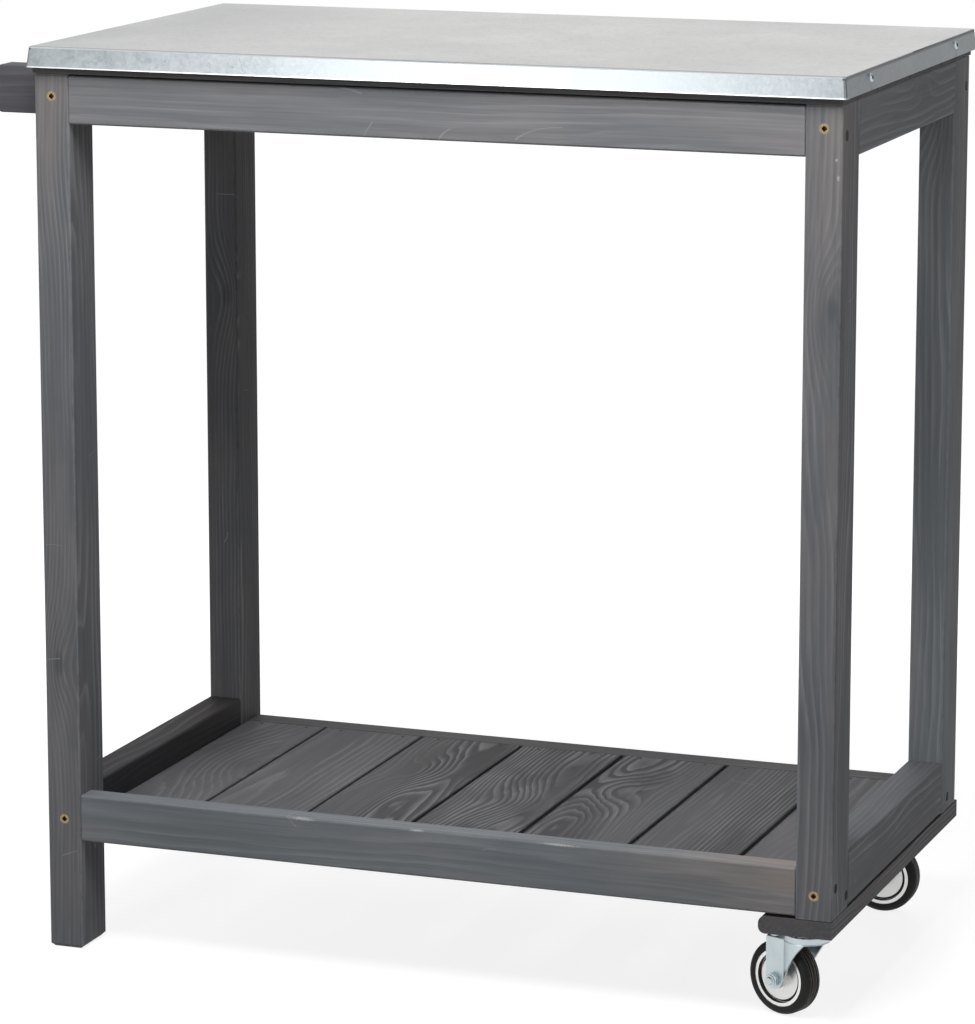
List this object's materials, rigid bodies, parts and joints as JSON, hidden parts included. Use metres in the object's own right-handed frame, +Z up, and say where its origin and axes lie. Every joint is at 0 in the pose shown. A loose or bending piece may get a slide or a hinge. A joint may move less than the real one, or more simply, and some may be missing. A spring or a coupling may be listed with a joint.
{
  "type": "prep table",
  "caption": "Timber prep table with a folded steel tray top, slatted lower shelf, push handle at the left end and swivel casters under the right end.",
  "frame": {"origin": "on the floor, under the centre of the overall footprint", "axes": "+X along the table from the handle end to the caster end, +Y from the front rail to the rear, +Z up"},
  "size_m": [0.9108, 0.4888, 0.9308],
  "materials": {
    "stained_timber": "planed pine, grey stain",
    "shelf_timber": "pine boards, grey stain, strong figure",
    "deck_timber": "pine boards, dark grey stain",
    "galvanised_sheet": "galvanised sheet with a fine spangle",
    "zinc_plate": "blue-white zinc plate",
    "wheel_steel": "pressed steel, grey zinc",
    "bearing_steel": "polished steel balls",
    "tyre_rubber": "matt black rubber",
    "yellow_zinc_screws": "yellow zinc plate",
    "dark_steel_screws": "dark plated steel"
  },
  "bodies": {
    "table": {"steel_top": "galvanised_sheet", "deck_board_1": "deck_timber", "deck_board_2": "deck_timber", "deck_board_3": "deck_timber", "deck_board_4": "deck_timber", "front_left_leg": "stained_timber", "rear_left_leg": "stained_timber", "front_right_leg": "stained_timber", "rear_right_leg": "stained_timber", "front_apron": "stained_timber", "rear_apron": "stained_timber", "left_apron": "stained_timber", "right_apron": "stained_timber", "front_rail": "stained_timber", "left_side_rail": "stained_timber", "right_side_rail": "stained_timber", "caster_board": "stained_timber", "front_handle_arm": "stained_timber", "rear_handle_arm": "stained_timber", "handle_bar": "stained_timber", "front_shelf_rail": "shelf_timber", "rear_shelf_rail": "shelf_timber", "shelf_board_1": "shelf_timber", "shelf_board_2": "shelf_timber", "shelf_board_3": "shelf_timber", "shelf_board_4": "shelf_timber", "shelf_board_5": "shelf_timber", "shelf_board_6": "shelf_timber", "shelf_board_7": "shelf_timber", "side_rail_screws": "yellow_zinc_screws", "cross_rail_screws": "yellow_zinc_screws", "shelf_screws": "dark_steel_screws", "deck_screws": "yellow_zinc_screws", "caster_board_screws": "yellow_zinc_screws", "front_caster_plate": "zinc_plate", "rear_caster_plate": "zinc_plate", "front_kingpin": "zinc_plate", "rear_kingpin": "zinc_plate", "tray_screws": "zinc_plate", "caster_mount_screws": "zinc_plate", "front_swivel_balls": "bearing_steel", "rear_swivel_balls": "bearing_steel"},
    "front_caster_fork": {"front_fork": "zinc_plate", "front_axle_bolt": "zinc_plate", "front_axle_nut": "zinc_plate", "front_axle_sleeve": "zinc_plate"},
    "front_caster_wheel": {"front_wheel_rim": "wheel_steel", "front_tyre": "tyre_rubber"},
    "rear_caster_fork": {"rear_fork": "zinc_plate", "rear_axle_bolt": "zinc_plate", "rear_axle_nut": "zinc_plate", "rear_axle_sleeve": "zinc_plate"},
    "rear_caster_wheel": {"rear_wheel_rim": "wheel_steel", "rear_tyre": "tyre_rubber"}
  },
  "joints": [
    {"name": "front_swivel", "type": "hinge", "parent": "table", "child": "front_caster_fork", "pos_m": [0.41162, -0.192, 0], "axis": [0, 0, 1], "continuous": true},
    {"name": "front_roll", "type": "hinge", "parent": "front_caster_fork", "child": "front_caster_wheel", "pos_m": [0.38659, -0.18189, 0.0375], "axis": [0.3746, 0.9272, 0], "continuous": true},
    {"name": "rear_swivel", "type": "hinge", "parent": "table", "child": "rear_caster_fork", "pos_m": [0.41162, 0.192, 0], "axis": [0, 0, 1], "continuous": true},
    {"name": "rear_roll", "type": "hinge", "parent": "rear_caster_fork", "child": "rear_caster_wheel", "pos_m": [0.38462, 0.192, 0.0375], "axis": [0, 1, 0], "continuous": true}
  ]
}
